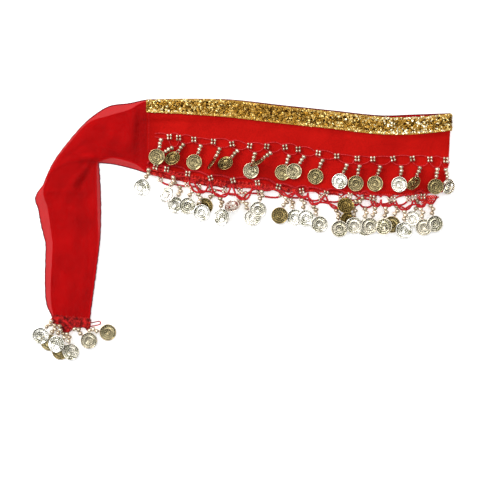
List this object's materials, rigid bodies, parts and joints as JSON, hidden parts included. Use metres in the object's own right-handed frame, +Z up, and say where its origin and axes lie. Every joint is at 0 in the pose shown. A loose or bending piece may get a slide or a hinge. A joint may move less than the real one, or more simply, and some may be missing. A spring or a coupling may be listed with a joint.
{
  "type": "coin hip scarf",
  "caption": "Hip scarf of sheer chiffon with sewn-on ties, a sequin braid and crocheted nets of bead strands and coins, folded in half at its middle and laid flat.",
  "frame": {"origin": "on the surface the scarf lies on, under the middle of its bounding box", "axes": "+X along the hip band towards the fold, +Y towards the sequin braid, +Z up from the surface"},
  "size_m": [0.505, 0.3124, 0.0284],
  "materials": {
    "chiffon": "sheer matt weave",
    "crochet": "matt twisted thread with pale gold beads",
    "sequins": "mirror-bright sequins, each turned its own way",
    "coin": "bright stamped sheet, pale gold"
  },
  "bodies": {
    "root": {"hip_band": "chiffon", "sequin_braid": "sequins", "tie_front": "chiffon", "tie_back": "chiffon", "fringe_upper": "crochet", "fringe_lower": "crochet", "fringe_back": "crochet", "edging_front": "crochet", "edging_back": "crochet", "coin_upper_01": "coin", "coin_upper_02": "coin", "coin_upper_03": "coin", "coin_upper_04": "coin", "coin_upper_05": "coin", "coin_upper_06": "coin", "coin_upper_07": "coin", "coin_upper_08": "coin", "coin_upper_09": "coin", "coin_upper_10": "coin", "coin_upper_11": "coin", "coin_upper_12": "coin", "coin_upper_13": "coin", "coin_upper_14": "coin", "coin_upper_15": "coin", "coin_upper_16": "coin", "coin_upper_17": "coin", "coin_upper_18": "coin", "coin_lower_01": "coin", "coin_lower_02": "coin", "coin_lower_03": "coin", "coin_lower_04": "coin", "coin_lower_05": "coin", "coin_lower_06": "coin", "coin_lower_07": "coin", "coin_lower_08": "coin", "coin_lower_09": "coin", "coin_lower_10": "coin", "coin_lower_11": "coin", "coin_lower_12": "coin", "coin_lower_13": "coin", "coin_lower_14": "coin", "coin_lower_15": "coin", "coin_lower_16": "coin", "coin_lower_17": "coin", "coin_back_01": "coin", "coin_back_02": "coin", "coin_back_03": "coin", "coin_back_04": "coin", "coin_back_05": "coin", "coin_back_06": "coin", "coin_back_07": "coin", "coin_back_08": "coin", "coin_back_09": "coin", "coin_end_01": "coin", "coin_end_02": "coin", "coin_end_03": "coin", "coin_end_04": "coin", "coin_end_back_01": "coin", "coin_end_back_02": "coin", "coin_end_back_03": "coin"}
  },
  "joints": []
}
